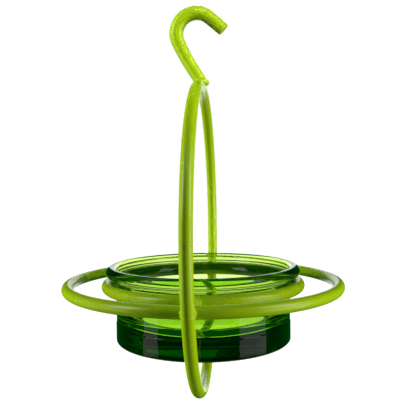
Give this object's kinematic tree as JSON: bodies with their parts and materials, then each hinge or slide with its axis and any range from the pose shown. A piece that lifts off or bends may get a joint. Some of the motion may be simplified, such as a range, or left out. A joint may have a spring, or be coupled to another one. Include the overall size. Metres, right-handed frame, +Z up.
{
  "type": "hanging dish bird feeder",
  "caption": "Open glass dish hung in a round wire frame with an upright hoop, a level perch ring and a hook on top.",
  "frame": {"origin": "the seat inside the hook's bend, the point that bears on what the feeder hangs from", "axes": "+Z up; the hoop stands parallel to the YZ plane; the hook lies in the XZ plane and opens towards +X"},
  "size_m": [0.1542, 0.1712, 0.2127],
  "materials": {
    "powder_coat": "glossy lime-green powder coat on steel wire, with a faint orange peel",
    "green_glass": "clear pressed bottle-green glass, yellow-green where thin and emerald where thick"
  },
  "bodies": {
    "frame": {"hoop": "powder_coat", "hook": "powder_coat", "hook_weld": "powder_coat", "perch_ring": "powder_coat", "cradle_ring": "powder_coat", "front_link": "powder_coat", "rear_link": "powder_coat", "front_link_welds": "powder_coat", "rear_link_welds": "powder_coat", "front_perch_weld": "powder_coat", "rear_perch_weld": "powder_coat"},
    "dish": {"glass_dish": "green_glass"}
  },
  "joints": [
    {"name": "dish_lift", "type": "slide", "parent": "frame", "child": "dish", "axis": [0, 0, 1], "range_m": [0, 0.07]}
  ]
}
